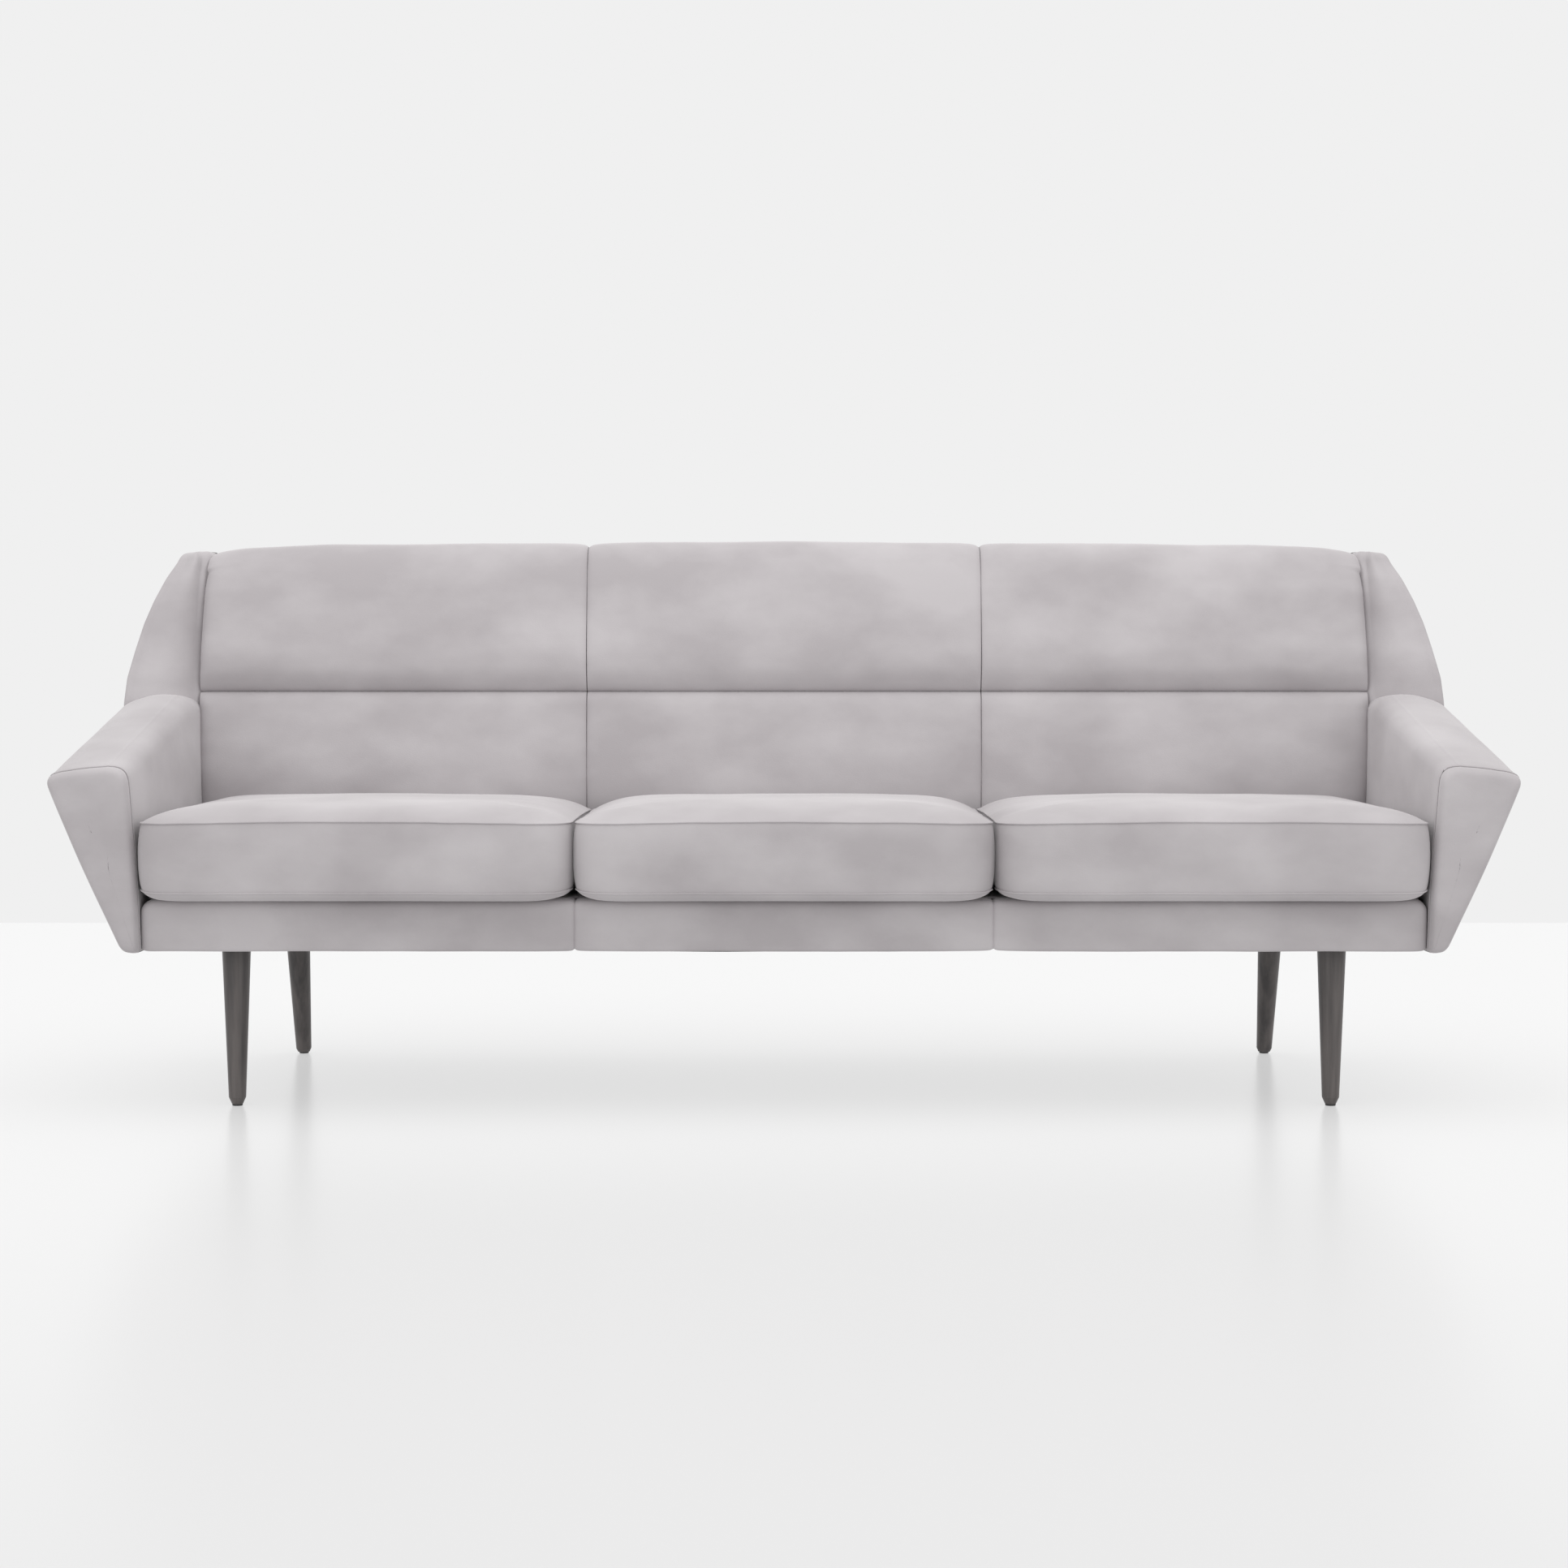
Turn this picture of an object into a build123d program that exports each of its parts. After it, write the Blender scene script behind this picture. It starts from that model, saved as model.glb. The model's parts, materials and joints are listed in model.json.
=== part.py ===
"""Upholstered sofa with a winged fixed back, outward-sloping arms, lift-out seat cushions and turned legs.

Millimetres. X runs across the sofa, +Y to the rear, +Z up. The origin is on the floor, under the middle of
the sofa. Left is -X, the viewer's left when facing the front. Each named piece is written to parts/NODE.step.
"""
from build123d import *
import math
import os

os.makedirs("parts", exist_ok=True)

# ------------------------------------------------------------------ driving dimensions
GAP = 0.3                       # clearance left between pieces that only lie against each other
BASE_Z = 245.0                  # lowest edge of the upholstered seat frame
ARM_FRONT_Y = -365.0            # plane of the arm fronts
BORDER_FRONT_Y = -342.0         # padded front face of the seat frame
REAR_Y_AT_BASE = 340.0          # outside back at BASE_Z
REAR_Y_AT_TOP = 394.0           # outside back at TOP_Z
TOP_Z = 882.0                   # top of the back
TUCK_Z = 626.0                  # sewn tuck across the back
TUCK_Y = 213.0
DECK_TOP_Z = 322.0              # platform that the seat cushions rest on

# seat cushions and back panels
CUSHION_SPLIT_X = 314.0         # joint between the middle and the outer cushions
CUSHION_SIDE_X = 961.0
PANEL_SPLIT_X = 330.0           # vertical seams of the back
BORDER_SPLIT_X = 312.0          # vertical seams of the front border
BACK_SIDE_X = 956.5             # the lower back pads end at the arms
WING_INNER_X = 975.0            # the upper back pads end at the wings

# arms: inner and outer edges of the section
ARM_BASE_Z = 243.0
ARM_INNER_BASE_X = 957.0
ARM_OUTER_BASE_X = 981.0
ARM_TOP_INNER_X = 975.0
ARM_CROWN_X = 1035.0
ARM_TOP_OUTER_X = 1090.0
WING_OUTER_Y = 140.0            # seam between arm top and wing, outer end
WING_INNER_Y = 188.0            # the same seam at its inner end
FACING_THICK = 23.0             # padded facing on the arm's front
SIDE_PANEL_THICK = 8.0
SIDE_TOP_Z = 606.0              # the outer side changes slope here, under the wing
REAR_CORNER_LOW_X = 979.0
REAR_CORNER_HIGH_X = 1068.0
OUTSIDE_BACK_THICK = 8.0

# seat frame
RAIL_THICK = 24.0
RAIL_LOW_Z = 248.0
RAIL_TOP_Z = 310.0
FRAME_HALF_X = 953.0
FRONT_RAIL_Y = -330.0           # front face of the front rail
REAR_RAIL_Y = 331.0             # rear face of the rear rail
CROSS_RAIL_X = 320.0
CROSS_RAIL_TOP_Z = 296.0

# legs
LEG_X = 831.5
FRONT_LEG_Y = -255.0
REAR_FOOT_Y = 358.0
REAR_LEG_RAKE = 15.0            # degrees, foot to the rear
LEG_TOP_R = 22.0
LEG_FOOT_R = 13.0
LEG_TIP_R = 8.5
LEG_TIP_Z = 13.0                # height where the turned tip begins
GLIDE_R = 8.0
GLIDE_THICK = 3.0
PLANK_WIDTH = 90.0
PLANK_THICK = 30.0
BOLT_R = 4.0
BOLT_IN_LEG = 35.0
TEE_BARREL_R = 5.2
TEE_LENGTH = 12.0
TEE_FLANGE_R = 11.0
TEE_FLANGE_THICK = 1.5

# springs and webbing
WIRE_R = 1.6
SPRING_PITCH = 40.1
SPRING_ROWS = 17
SPRING_BEND_R = SPRING_PITCH / 2
SPRING_STRAIGHT = 12.0          # half length of each straight bar
SPRING_X = (-820, -680, -540, -400, -195, -65, 65, 195, 400, 540, 680, 820)
CLIP_THICK = 1.2
CLIP_SIZE = 16.0
STRAP_WIDTH = 60.0
STRAP_THICK = 2.0
STRAP_X = (-800, -640, -480, -190, 0, 190, 480, 640, 800)

# back frame
POST_WIDTH = 24.0
OUTER_POST_WIDTH = 39.5
BACK_RAIL_THICK = 20.0
TOP_RAIL_LOW_Z = 834.0
TOP_RAIL_HIGH_Z = 858.0
TOP_RAIL_HALF_X = 945.0
BOARD_THICK = 15.0              # plywood of the arm and wing boards

# zips
ZIP_HALF = 260.0
ZIP_Z = 381.0
ZIP_HEIGHT = 6.0
ZIP_THICK = 1.5
SLIDER_LENGTH = 12.0
CUSHION_REAR_Y = 134.0
COVER_THICK = 3.0


# ------------------------------------------------------------------ shape helpers
def between(a, b, t):
    """The value a share t of the way from a to b."""
    return a + (b - a) * t


def prism_x(points, x0, x1):
    """Closed (y, z) outline pulled along X from x0 to x1."""
    outline = make_face(Polyline([(x0, y, z) for y, z in points], close=True))
    return extrude(outline, amount=x1 - x0, dir=(1, 0, 0))


def prism_y(points, y0, y1):
    """Closed (x, z) outline pulled along Y from y0 to y1."""
    outline = make_face(Polyline([(x, y0, z) for x, z in points], close=True))
    return extrude(outline, amount=y1 - y0, dir=(0, 1, 0))


def prism_z(points, z0, z1):
    """Closed (x, y) outline pulled along Z from z0 to z1."""
    outline = make_face(Polyline([(x, y, z0) for x, y in points], close=True))
    return extrude(outline, amount=z1 - z0, dir=(0, 0, 1))


def block(x0, x1, y0, y1, z0, z1):
    """Box between two opposite corners."""
    centre = ((x0 + x1) / 2, (y0 + y1) / 2, (z0 + z1) / 2)
    return Pos(*centre) * Box(x1 - x0, y1 - y0, z1 - z0)


def rod_z(x, y, z0, z1, radius):
    """Upright cylinder."""
    return Pos(x, y, (z0 + z1) / 2) * Cylinder(radius, z1 - z0)


def rod_x(y, z, x0, x1, radius):
    """Cylinder along X."""
    return Pos((x0 + x1) / 2, y, z) * Rot(0, 90, 0) * Cylinder(radius, x1 - x0)


def loft_rings(rings):
    """Ruled solid through closed rings of 3-D points with the same number of corners."""
    wires = [Wire(Polyline(ring, close=True)) for ring in rings]
    return Solid.make_loft(wires, ruled=True)


def mirrored(shape):
    """The same piece on the other side of the sofa."""
    return mirror(shape, about=Plane.YZ)


def both_sides(shape):
    """A piece and its mirror image, as two solids."""
    return [*shape.solids(), *mirrored(shape).solids()]


def save(name, shape):
    """Writes one node; a list of shapes becomes one node of separate solids."""
    if isinstance(shape, (list, tuple)):
        solids = [s for part in shape for s in part.solids()]
        shape = Compound(children=solids)
    export_step(shape, f"parts/{name}.step")


def save_pair(name, right_shape):
    """Writes a right-hand piece and its left-hand mirror image."""
    save(f"{name}_right", right_shape)
    save(f"{name}_left", mirrored(right_shape))


# ------------------------------------------------------------------ shared surfaces
def rear_y(z):
    """Outside face of the back at a height."""
    return between(REAR_Y_AT_BASE, REAR_Y_AT_TOP, (z - BASE_Z) / (TOP_Z - BASE_Z))


def pad_rear_y(z):
    """Rear face of the back's foam, where the webbing lies."""
    return 217.0 + (z - DECK_TOP_Z) * 0.196


def arm_share(y):
    """0 at the arm's front, 1 at the outer end of the wing seam."""
    return (y - ARM_FRONT_Y) / (WING_OUTER_Y - ARM_FRONT_Y)


def arm_outer_top_z(y):
    return between(503.0, 604.0, arm_share(y))


def arm_crown_z(y):
    return between(512.0, 624.0, arm_share(y))


def arm_inner_top_z(y):
    return between(514.0, 612.0, arm_share(y))


def arm_inner_x(z):
    """Inner face of the arm, which leans out as it rises."""
    return ARM_INNER_BASE_X + (z - ARM_BASE_Z) * 0.0665


def arm_outer_x(y, z):
    """Outer face of the arm."""
    rise = arm_outer_top_z(y) - ARM_BASE_Z
    return between(ARM_OUTER_BASE_X, ARM_TOP_OUTER_X, (z - ARM_BASE_Z) / rise)


# Wing outline by height: (z, outer x, outer y, inner y, rear corner x)
WING_LEVELS = (
    (606.0, 1090.0, 140.0, 188.0, 1068.0),
    (650.0, 1086.0, 155.0, 201.0, 1064.0),
    (697.0, 1077.0, 176.0, 215.0, 1056.0),
    (741.0, 1067.0, 200.0, 228.0, 1047.0),
    (779.0, 1056.0, 221.0, 240.0, 1036.0),
    (818.0, 1040.0, 247.0, 256.0, 1022.0),
    (848.0, 1025.0, 272.0, 276.0, 1008.0),
)
WING_CAP = (860.0, 1008.0, 296.0, 296.0, 996.0)


# ------------------------------------------------------------------ seat frame
def leg_hole(radius, z0, z1):
    """Four upright holes over the leg bolts."""
    spots = [(s * LEG_X, y) for s in (-1, 1) for y in (FRONT_LEG_Y, rear_leg_top_y())]
    return [rod_z(x, y, z0, z1, radius) for x, y in spots]


def rear_leg_top_y():
    return REAR_FOOT_Y - RAIL_LOW_Z * math.tan(math.radians(REAR_LEG_RAKE))


def arm_bolt_spots():
    """(y, z) of the bolts that hold each arm base to the seat frame."""
    return [(y, 284.0) for y in (-230.0, -50.0, 130.0)]


def seat_frame():
    front = block(-FRAME_HALF_X, FRAME_HALF_X, FRONT_RAIL_Y, FRONT_RAIL_Y + RAIL_THICK,
                  RAIL_LOW_Z, RAIL_TOP_Z)
    rear = block(-FRAME_HALF_X, FRAME_HALF_X, REAR_RAIL_Y - RAIL_THICK, REAR_RAIL_Y,
                 RAIL_LOW_Z, RAIL_TOP_Z)
    inside = (FRONT_RAIL_Y + RAIL_THICK, REAR_RAIL_Y - RAIL_THICK)
    side = block(FRAME_HALF_X - RAIL_THICK, FRAME_HALF_X, *inside, RAIL_LOW_Z, RAIL_TOP_Z)
    for y, z in arm_bolt_spots():
        side -= rod_x(y, z, FRAME_HALF_X - 2 * RAIL_THICK, FRAME_HALF_X + 1, BOLT_R + 0.2)
    cross = block(CROSS_RAIL_X - RAIL_THICK / 2, CROSS_RAIL_X + RAIL_THICK / 2, *inside,
                  RAIL_LOW_Z, CROSS_RAIL_TOP_Z)
    plank = block(LEG_X - PLANK_WIDTH / 2, LEG_X + PLANK_WIDTH / 2, *inside,
                  RAIL_LOW_Z, RAIL_LOW_Z + PLANK_THICK)
    for hole in leg_hole(TEE_BARREL_R, RAIL_LOW_Z - 1, RAIL_LOW_Z + PLANK_THICK + 1):
        plank -= hole
    leg = 50.0
    corner_x = FRAME_HALF_X - RAIL_THICK
    front_corner = prism_z([(corner_x, inside[0]), (corner_x - leg, inside[0]),
                            (corner_x, inside[0] + leg)], 252.0, 306.0)
    rear_corner = prism_z([(corner_x, inside[1]), (corner_x - leg, inside[1]),
                           (corner_x, inside[1] - leg)], 252.0, 306.0)
    save("front_seat_rail", front)
    save("rear_seat_rail", rear)
    save("seat_side_rails", both_sides(side))
    save("seat_cross_rails", both_sides(cross))
    save("leg_planks", both_sides(plank))
    save("corner_blocks", both_sides(front_corner) + both_sides(rear_corner))


# ------------------------------------------------------------------ legs and their fixings
def turned_leg(length):
    """Leg on the Z axis with its foot at the origin, turned from round bar."""
    profile = [(0, 0), (LEG_TIP_R, 0), (LEG_FOOT_R, LEG_TIP_Z - GLIDE_THICK),
               (LEG_TOP_R, length), (0, length)]
    outline = make_face(Polyline([(x, 0, z) for x, z in profile], close=True))
    return revolve(outline, axis=Axis.Z)


def legs():
    room = 60.0
    bolt_hole = BOLT_R + 0.1
    front = Pos(LEG_X, FRONT_LEG_Y, GLIDE_THICK) * turned_leg(RAIL_LOW_Z - GLIDE_THICK)
    front -= rod_z(LEG_X, FRONT_LEG_Y, RAIL_LOW_Z - BOLT_IN_LEG - 1, RAIL_LOW_Z + 1, bolt_hole)
    raked = turned_leg(RAIL_LOW_Z / math.cos(math.radians(REAR_LEG_RAKE)) + 10)
    rear = Pos(LEG_X, REAR_FOOT_Y, 0) * Rot(REAR_LEG_RAKE, 0, 0) * raked
    slice_of_height = block(LEG_X - room, LEG_X + room, REAR_FOOT_Y - 2 * room, REAR_FOOT_Y + room,
                            GLIDE_THICK, RAIL_LOW_Z)
    rear = rear & slice_of_height
    rear -= rod_z(LEG_X, rear_leg_top_y(), RAIL_LOW_Z - BOLT_IN_LEG - 1, RAIL_LOW_Z + 1, bolt_hole)
    save_pair("leg_front", front)
    save_pair("leg_rear", rear)

    glides = []
    for y in (FRONT_LEG_Y, REAR_FOOT_Y):
        disc = rod_z(LEG_X, y, 0, GLIDE_THICK, GLIDE_R)
        glides += both_sides(chamfer(disc.edges().group_by(Axis.Z)[0], 0.6))
    save("leg_glides", glides)

    bolts = [rod_z(x, y, RAIL_LOW_Z - BOLT_IN_LEG, RAIL_LOW_Z + PLANK_THICK, BOLT_R)
             for x in (-LEG_X, LEG_X) for y in (FRONT_LEG_Y, rear_leg_top_y())]
    save("leg_bolts", bolts)

    top = RAIL_LOW_Z + PLANK_THICK
    nuts = []
    for x in (-LEG_X, LEG_X):
        for y in (FRONT_LEG_Y, rear_leg_top_y()):
            nut = rod_z(x, y, top - TEE_LENGTH, top, TEE_BARREL_R - 0.1)
            nut += rod_z(x, y, top, top + TEE_FLANGE_THICK, TEE_FLANGE_R)
            nut -= rod_z(x, y, top - TEE_LENGTH - 1, top + TEE_FLANGE_THICK + 1, BOLT_R + 0.1)
            nuts.append(nut)
    save("tee_nuts", nuts)


# ------------------------------------------------------------------ seat springs, deck, dust cover
def zigzag_spring(x, z):
    """One flat zigzag spring, its bars along X and its rows along Y."""
    first_y = FRONT_RAIL_Y + RAIL_THICK / 2
    edges = []
    side = 1
    for row in range(SPRING_ROWS):
        y = first_y + row * SPRING_PITCH
        start, end = x - side * SPRING_STRAIGHT, x + side * SPRING_STRAIGHT
        edges.append(Line((start, y, z), (end, y, z)))
        if row < SPRING_ROWS - 1:
            bend_tip = (end + side * SPRING_BEND_R, y + SPRING_BEND_R, z)
            edges.append(ThreePointArc((end, y, z), bend_tip, (end, y + SPRING_PITCH, z)))
        side = -side
    start_plane = Plane(origin=(x - SPRING_STRAIGHT, first_y, z), z_dir=(1, 0, 0))
    return sweep(start_plane * Circle(WIRE_R), path=Wire(edges))


def spring_clip(x, y):
    """Folded steel clip around one spring bar, open towards the seat."""
    low, high = RAIL_TOP_Z, RAIL_TOP_Z + 2 * CLIP_THICK + 2 * WIRE_R + 0.7
    outward = -1 if y < 0 else 1
    half = CLIP_SIZE / 2
    y_out, y_in = y + outward * half, y - outward * half
    outline = [(y_out, low), (y_in, low), (y_in, low + CLIP_THICK),
               (y_out - outward * CLIP_THICK, low + CLIP_THICK),
               (y_out - outward * CLIP_THICK, high - CLIP_THICK),
               (y_in, high - CLIP_THICK), (y_in, high), (y_out, high)]
    return prism_x(outline, x - half, x + half)


def suspension():
    wire_z = RAIL_TOP_Z + CLIP_THICK + WIRE_R + 0.35
    save("seat_springs", [zigzag_spring(x, wire_z) for x in SPRING_X])
    ends = (FRONT_RAIL_Y + RAIL_THICK / 2, REAR_RAIL_Y - RAIL_THICK / 2)
    save("spring_clips", [spring_clip(x, y) for x in SPRING_X for y in ends])

    deck = block(-FRAME_HALF_X, FRAME_HALF_X, FRONT_RAIL_Y + RAIL_THICK + GAP, 216.0,
                 DECK_TOP_Z - 5.5, DECK_TOP_Z)
    save("seat_deck", deck)

    cover = block(-950.0, 950.0, -328.0, 330.0, RAIL_LOW_Z - 1.6, RAIL_LOW_Z - 0.1)
    for hole in leg_hole(LEG_TOP_R + 4.0, RAIL_LOW_Z - 3, RAIL_LOW_Z + 1):
        cover -= hole
    save("dust_cover", cover)


# ------------------------------------------------------------------ back frame
def sloped_rail(z0, z1, x0, x1):
    """Rail behind the webbing, lying along the slope of the back."""
    near, far = STRAP_THICK + 1.5, STRAP_THICK + 1.5 + BACK_RAIL_THICK
    outline = [(pad_rear_y(z0) + near, z0), (pad_rear_y(z0) + far, z0),
               (pad_rear_y(z1) + far, z1), (pad_rear_y(z1) + near, z1)]
    return prism_x(outline, x0, x1)


def back_post(x0, x1):
    front = STRAP_THICK + 1.5 + BACK_RAIL_THICK + GAP
    rear = OUTSIDE_BACK_THICK + 1.0
    top = TOP_RAIL_LOW_Z - GAP
    outline = [(pad_rear_y(RAIL_TOP_Z) + front, RAIL_TOP_Z), (rear_y(RAIL_TOP_Z) - rear, RAIL_TOP_Z),
               (rear_y(top) - rear, top), (pad_rear_y(top) + front, top)]
    return prism_x(outline, x0, x1)


def back_frame():
    half = WING_INNER_X - GAP
    outer = back_post(half - OUTER_POST_WIDTH, half)
    inner = back_post(CROSS_RAIL_X - POST_WIDTH / 2, CROSS_RAIL_X + POST_WIDTH / 2)
    save("back_posts", both_sides(outer) + both_sides(inner))
    save("back_lumbar_rail", sloped_rail(600.0, 650.0, -half, half))
    save("back_bottom_rail", sloped_rail(330.0, 372.0, -half, half))
    near = pad_rear_y(TOP_RAIL_HIGH_Z) + STRAP_THICK + 1.5
    rear = rear_y(TOP_RAIL_LOW_Z) - OUTSIDE_BACK_THICK - 1.0
    save("back_top_rail", block(-TOP_RAIL_HALF_X, TOP_RAIL_HALF_X, near, rear, TOP_RAIL_LOW_Z, TOP_RAIL_HIGH_Z))

    z0, z1 = 345.0, 850.0
    near, far = 1.0, 1.0 + STRAP_THICK
    outline = [(pad_rear_y(z0) + near, z0), (pad_rear_y(z0) + far, z0),
               (pad_rear_y(z1) + far, z1), (pad_rear_y(z1) + near, z1)]
    save("back_webbing", [prism_x(outline, x - STRAP_WIDTH / 2, x + STRAP_WIDTH / 2) for x in STRAP_X])


# ------------------------------------------------------------------ back upholstery
def profile_solid(edges, x0, x1):
    """Closed loop of edges in the plane x = x0, pulled along X to x1."""
    face = make_face(Wire(edges))
    return extrude(face, amount=x1 - x0, dir=(1, 0, 0))


def lower_pad(x0, x1):
    """Lumbar pad, from the deck to the tuck."""
    low = DECK_TOP_Z + GAP

    def at(y, z):
        return (x0, y, z)

    inner_low, inner_high = pad_rear_y(low), pad_rear_y(TUCK_Z)
    return profile_solid([
        Line(at(142, low), at(142, 400)),
        Spline([at(142, 400), at(150, 480), at(171, 560), at(190, 608), at(TUCK_Y, TUCK_Z)],
               tangents=[(0, 0, 1), (0, 1, 0.15)]),
        Line(at(TUCK_Y, TUCK_Z), at(inner_high, TUCK_Z)),
        Line(at(inner_high, TUCK_Z), at(inner_low, low)),
        Line(at(inner_low, low), at(142, low)),
    ], x0, x1)


def upper_pad(x0, x1):
    """Shoulder pad, from the tuck over the top rail to the outside back."""
    low = TUCK_Z + GAP
    shelf = TOP_RAIL_HIGH_Z + 2.0
    end_y = rear_y(shelf)
    front_y = pad_rear_y(TOP_RAIL_HIGH_Z)

    def at(y, z):
        return (x0, y, z)

    return profile_solid([
        Spline([at(TUCK_Y, low), at(197, 648), at(203, 700), at(226, 770), at(252, 826),
                at(278, 862), at(325, TOP_Z)], tangents=[(0, -1, 0.25), (0, 1, 0.12)]),
        Spline([at(325, TOP_Z), at(372, 879), at(end_y, shelf)], tangents=[(0, 1, 0.05), (0, 0.1, -1)]),
        Line(at(end_y, shelf), at(front_y, shelf)),
        Line(at(front_y, shelf), at(pad_rear_y(low), low)),
        Line(at(pad_rear_y(low), low), at(TUCK_Y, low)),
    ], x0, x1)


def between_arms():
    """Everything inboard of the arms' leaning inner faces."""
    low, bend, high = 300.0, 510.0, 640.0
    low_x, high_x = arm_inner_x(low) - GAP, arm_inner_x(bend) - GAP
    return prism_y([(-low_x, low), (low_x, low), (high_x, bend), (high_x, high),
                    (-high_x, high), (-high_x, bend)], 100, 300)


def under_top_line():
    """Everything below the gently crowned top edge of the back."""
    half = [(978, 864), (920, 871), (782, 877), (335, 880.5)]
    line = [(-x, 0, z) for x, z in half] + [(0, 0, TOP_Z)] + [(x, 0, z) for x, z in reversed(half)]
    left, right = line[0], line[-1]
    edges = [Spline(line), Line(right, (978, 0, 600)), Line((978, 0, 600), (-978, 0, 600)),
             Line((-978, 0, 600), left)]
    return Pos(0, 100, 0) * extrude(make_face(Wire(edges)), amount=400, dir=(0, 1, 0))


def back_upholstery():
    seam = GAP / 2
    sides, top_line = between_arms(), under_top_line()
    save("back_lower_pad_middle", lower_pad(-PANEL_SPLIT_X + seam, PANEL_SPLIT_X - seam))
    save_pair("back_lower_pad", lower_pad(PANEL_SPLIT_X + seam, ARM_TOP_INNER_X + 10) & sides)
    save("back_upper_pad_middle", upper_pad(-PANEL_SPLIT_X + seam, PANEL_SPLIT_X - seam) & top_line)
    save_pair("back_upper_pad", upper_pad(PANEL_SPLIT_X + seam, WING_INNER_X - GAP) & top_line)

    top = TOP_RAIL_HIGH_Z + 2.0 - GAP
    outline = [(REAR_CORNER_LOW_X, BASE_Z), (REAR_CORNER_HIGH_X, SIDE_TOP_Z)]
    outline += [(rear_x, z) for z, _, _, _, rear_x in WING_LEVELS[1:]] + [(WING_CAP[4], top)]
    outline += [(-x, z) for x, z in reversed(outline)]
    slab = [(rear_y(200) - OUTSIDE_BACK_THICK, 200), (rear_y(200), 200),
            (rear_y(900), 900), (rear_y(900) - OUTSIDE_BACK_THICK, 900)]
    save("outside_back", prism_y(outline, 300, 420) & prism_x(slab, -1100, 1100))


# ------------------------------------------------------------------ front border
def front_border(x0, x1):
    """Padded border over the front rail, folded over its top onto the deck."""
    front, back = BORDER_FRONT_Y, FRONT_RAIL_Y - GAP
    wrap_end, wrap_low = FRONT_RAIL_Y + RAIL_THICK, DECK_TOP_Z - 5.5
    round_r = 12.0
    bow = round_r * (1 - math.sqrt(0.5))
    edges = [
        Line((x0, back, BASE_Z), (x0, front, BASE_Z)),
        Line((x0, front, BASE_Z), (x0, front, DECK_TOP_Z - round_r)),
        ThreePointArc((x0, front, DECK_TOP_Z - round_r), (x0, front + bow, DECK_TOP_Z - bow),
                      (x0, front + round_r, DECK_TOP_Z)),
        Line((x0, front + round_r, DECK_TOP_Z), (x0, wrap_end, DECK_TOP_Z)),
        Line((x0, wrap_end, DECK_TOP_Z), (x0, wrap_end, wrap_low)),
        Line((x0, wrap_end, wrap_low), (x0, back, wrap_low)),
        Line((x0, back, wrap_low), (x0, back, BASE_Z)),
    ]
    return profile_solid(edges, x0, x1)


def front_borders():
    seam = GAP / 2
    middle = front_border(-BORDER_SPLIT_X + seam, BORDER_SPLIT_X - seam)
    side = front_border(BORDER_SPLIT_X + seam, BACK_SIDE_X)
    save("front_border", [middle, *both_sides(side)])


# ------------------------------------------------------------------ arms
def arm_ring(y, base_z=ARM_BASE_Z):
    """Outer section of the arm at y, with its corners eased by short flats."""
    ease = 12.0
    outer_top, inner_top = arm_outer_top_z(y), arm_inner_top_z(y)
    points = [
        (arm_inner_x(base_z), base_z),
        (arm_outer_x(y, base_z), base_z),
        (arm_outer_x(y, outer_top - ease), outer_top - ease),
        (ARM_TOP_OUTER_X - ease * 0.6, outer_top + 2.0),
        (ARM_CROWN_X, arm_crown_z(y)),
        (ARM_TOP_INNER_X + ease * 0.8, inner_top),
        (arm_inner_x(inner_top - ease), inner_top - ease),
    ]
    return [(x, y, z) for x, z in points]


def arm_cavity_ring(y):
    """Hollow of the arm, where the timber sits."""
    outer_top = arm_outer_top_z(y) - 20.0
    points = [
        (arm_inner_x(318) + 14.0, 318.0),
        (arm_outer_x(y, 318) - SIDE_PANEL_THICK + 2.0, 318.0),
        (arm_outer_x(y, outer_top) - SIDE_PANEL_THICK + 2.0, outer_top),
        (ARM_CROWN_X, arm_crown_z(y) - 20.0),
        (arm_inner_x(480) + 14.0, arm_inner_top_z(y) - 20.0),
    ]
    return [(x, y, z) for x, z in points]


def side_ring(y, inside, outside):
    """Section along the outer side, between offsets inside and outside the finished surface."""
    low, high = ARM_BASE_Z, SIDE_TOP_Z
    if y > WING_OUTER_Y:
        low_x, high_x = REAR_CORNER_LOW_X, REAR_CORNER_HIGH_X
    else:
        low_x, high_x = arm_outer_x(y, low), arm_outer_x(y, high)
    points = [(low_x - inside, low), (low_x + outside, low),
              (high_x + outside, high), (high_x - inside, high)]
    return [(x, y, z) for x, z in points]


def side_sheet(inside, outside, clear):
    """Outer side from the arm's front to the rear corner, below the arm's rounded top edge."""
    start, rear, drop = ARM_FRONT_Y + FACING_THICK, REAR_Y_AT_TOP, 14.0 - clear
    sheet = loft_rings([side_ring(y, inside, outside) for y in (start, WING_OUTER_Y, rear)])
    outline = [(start, ARM_BASE_Z), (rear, ARM_BASE_Z), (rear, SIDE_TOP_Z - GAP),
               (WING_OUTER_Y - clear, SIDE_TOP_Z - GAP),
               (WING_OUTER_Y - clear, arm_outer_top_z(WING_OUTER_Y) - drop),
               (start, arm_outer_top_z(start) - drop)]
    return sheet & prism_x(outline, 900, 1200)


def behind_wing_seam(clear=0.0):
    """Everything behind the slanted line where the arm's top meets the wing."""
    slope = (WING_INNER_Y - WING_OUTER_Y) / (WING_INNER_X - ARM_TOP_OUTER_X)
    near_y = WING_INNER_Y + slope * (900 - WING_INNER_X) - clear
    far_y = WING_INNER_Y + slope * (1200 - WING_INNER_X) - clear
    return prism_z([(900, near_y), (1200, far_y), (1200, 600), (900, 600)], 200, 900)


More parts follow.
